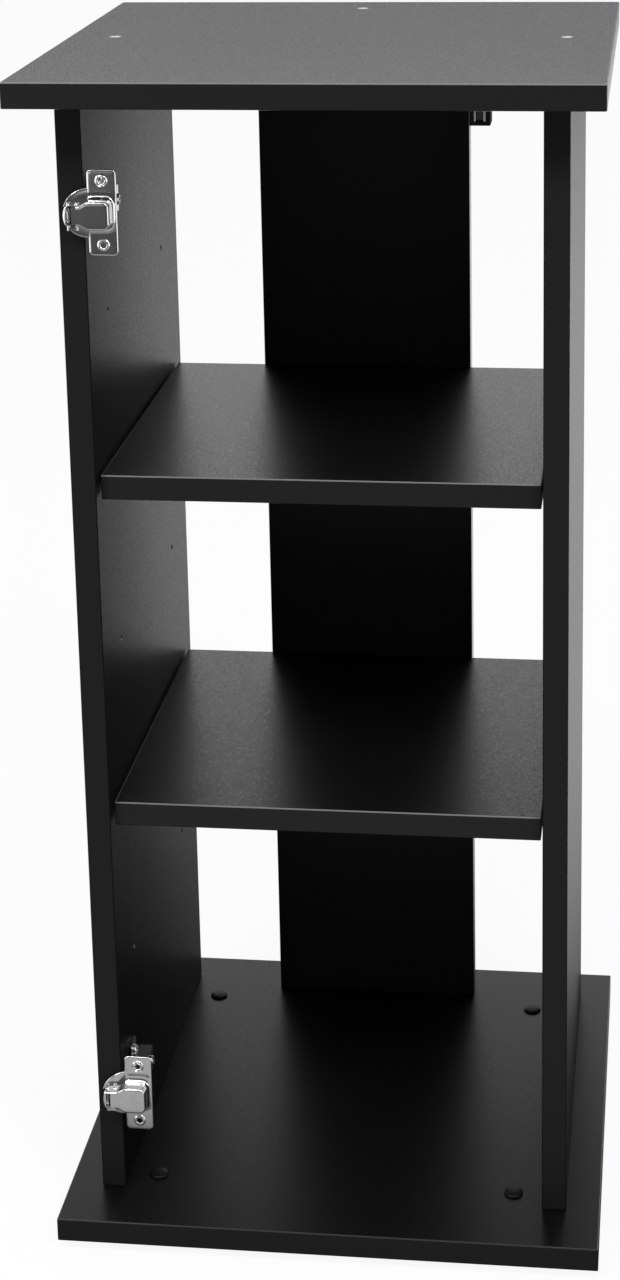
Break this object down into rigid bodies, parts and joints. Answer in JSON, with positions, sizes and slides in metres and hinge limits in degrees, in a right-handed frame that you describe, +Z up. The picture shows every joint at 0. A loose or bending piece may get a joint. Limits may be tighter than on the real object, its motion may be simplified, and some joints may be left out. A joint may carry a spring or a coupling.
{
  "type": "open cabinet stand",
  "caption": "Tall narrow open stand of black board with overhanging square top and base, loose shelves on pins, a partial back, levelling feet, a magnetic catch and concealed hinges for a door.",
  "frame": {"origin": "centre of the footprint, on the floor under the feet", "axes": "+Z up, +Y to the back, +X to the right as seen from the front"},
  "size_m": [0.4, 0.4, 0.877],
  "materials": {
    "board": "black melamine facing, satin",
    "nickel": "bright nickel plated steel",
    "pin_nickel": "nickel plated steel",
    "zinc": "bright zinc plated steel",
    "black_plastic": "moulded",
    "foot_plastic": "moulded",
    "ferrite": "sintered"
  },
  "bodies": {
    "stand": {"top_panel": "board", "base_panel": "board", "left_side_panel": "board", "right_side_panel": "board", "back_panel": "board", "shelf_pin_upper_left_front": "pin_nickel", "shelf_pin_upper_left_rear": "pin_nickel", "shelf_pin_upper_right_front": "pin_nickel", "shelf_pin_upper_right_rear": "pin_nickel", "shelf_pin_lower_left_front": "pin_nickel", "shelf_pin_lower_left_rear": "pin_nickel", "shelf_pin_lower_right_front": "pin_nickel", "shelf_pin_lower_right_rear": "pin_nickel", "top_screw_left": "zinc", "top_screw_right": "zinc", "top_screw_back": "zinc", "base_screw_left": "zinc", "base_screw_right": "zinc", "base_screw_back": "zinc", "foot_sleeve_front_left": "black_plastic", "foot_sleeve_front_right": "black_plastic", "foot_sleeve_rear_left": "black_plastic", "foot_sleeve_rear_right": "black_plastic", "catch_housing": "black_plastic", "catch_pole_left": "zinc", "catch_pole_right": "zinc", "catch_screw_front": "zinc", "catch_screw_rear": "zinc", "catch_magnet": "ferrite", "upper_hinge_mounting_plate": "nickel", "upper_hinge_arm": "nickel", "upper_hinge_arm_pin_front": "zinc", "upper_hinge_arm_pin_rear": "zinc", "upper_hinge_plate_screw_top": "zinc", "upper_hinge_plate_screw_bottom": "zinc", "upper_hinge_fixing_screw": "zinc", "upper_hinge_side_screw": "zinc", "lower_hinge_mounting_plate": "nickel", "lower_hinge_arm": "nickel", "lower_hinge_arm_pin_front": "zinc", "lower_hinge_arm_pin_rear": "zinc", "lower_hinge_plate_screw_top": "zinc", "lower_hinge_plate_screw_bottom": "zinc", "lower_hinge_fixing_screw": "zinc", "lower_hinge_side_screw": "zinc"},
    "foot_front_left": {"levelling_foot_front_left": "foot_plastic"},
    "foot_front_right": {"levelling_foot_front_right": "foot_plastic"},
    "foot_rear_left": {"levelling_foot_rear_left": "foot_plastic"},
    "foot_rear_right": {"levelling_foot_rear_right": "foot_plastic"},
    "upper_shelf": {"upper_shelf": "board"},
    "lower_shelf": {"lower_shelf": "board"},
    "upper_hinge_outer_link": {"upper_hinge_outer_link": "nickel"},
    "upper_hinge_cup": {"upper_hinge_cup": "nickel", "upper_hinge_cup_pin": "zinc"},
    "upper_hinge_inner_link": {"upper_hinge_inner_link": "nickel"},
    "lower_hinge_outer_link": {"lower_hinge_outer_link": "nickel"},
    "lower_hinge_cup": {"lower_hinge_cup": "nickel", "lower_hinge_cup_pin": "zinc"},
    "lower_hinge_inner_link": {"lower_hinge_inner_link": "nickel"}
  },
  "joints": [
    {"name": "foot_front_left_height", "type": "slide", "parent": "stand", "child": "foot_front_left", "axis": [0, 0, -1], "range_m": [0, 0.01]},
    {"name": "foot_front_right_height", "type": "slide", "parent": "stand", "child": "foot_front_right", "axis": [0, 0, -1], "range_m": [0, 0.01]},
    {"name": "foot_rear_left_height", "type": "slide", "parent": "stand", "child": "foot_rear_left", "axis": [0, 0, -1], "range_m": [0, 0.01]},
    {"name": "foot_rear_right_height", "type": "slide", "parent": "stand", "child": "foot_rear_right", "axis": [0, 0, -1], "range_m": [0, 0.01]},
    {"name": "upper_shelf_slide", "type": "slide", "parent": "stand", "child": "upper_shelf", "axis": [0, -1, 0], "range_m": [0, 0.045]},
    {"name": "lower_shelf_slide", "type": "slide", "parent": "stand", "child": "lower_shelf", "axis": [0, -1, 0], "range_m": [0, 0.045]},
    {"name": "upper_hinge_swing", "type": "hinge", "parent": "stand", "child": "upper_hinge_outer_link", "pos_m": [-0.1528, -0.1529, 0.7798], "axis": [0, 0, 1], "range_deg": [0, 51.2]},
    {"name": "upper_hinge_cup_turn", "type": "hinge", "parent": "upper_hinge_outer_link", "child": "upper_hinge_cup", "pos_m": [-0.1661, -0.1622, 0.7798], "axis": [0, 0, 1], "range_deg": [-146.2, 0]},
    {"name": "upper_hinge_inner_turn", "type": "hinge", "parent": "upper_hinge_cup", "child": "upper_hinge_inner_link", "pos_m": [-0.1605, -0.1617, 0.7798], "axis": [0, 0, 1], "range_deg": [0, 146.2]},
    {"name": "lower_hinge_swing", "type": "hinge", "parent": "stand", "child": "lower_hinge_outer_link", "pos_m": [-0.1528, -0.1529, 0.1065], "axis": [0, 0, 1], "range_deg": [0, 51.2]},
    {"name": "lower_hinge_cup_turn", "type": "hinge", "parent": "lower_hinge_outer_link", "child": "lower_hinge_cup", "pos_m": [-0.1661, -0.1622, 0.1065], "axis": [0, 0, 1], "range_deg": [-146.2, 0]},
    {"name": "lower_hinge_inner_turn", "type": "hinge", "parent": "lower_hinge_cup", "child": "lower_hinge_inner_link", "pos_m": [-0.1605, -0.1617, 0.1065], "axis": [0, 0, 1], "range_deg": [0, 146.2]}
  ],
  "couplings": [
    {"joint": "upper_hinge_cup_turn", "follows": "upper_hinge_swing", "ratio": -2.8516},
    {"joint": "upper_hinge_inner_turn", "follows": "upper_hinge_swing", "ratio": 2.8516},
    {"joint": "lower_hinge_cup_turn", "follows": "lower_hinge_swing", "ratio": -2.8516},
    {"joint": "lower_hinge_inner_turn", "follows": "lower_hinge_swing", "ratio": 2.8516}
  ]
}
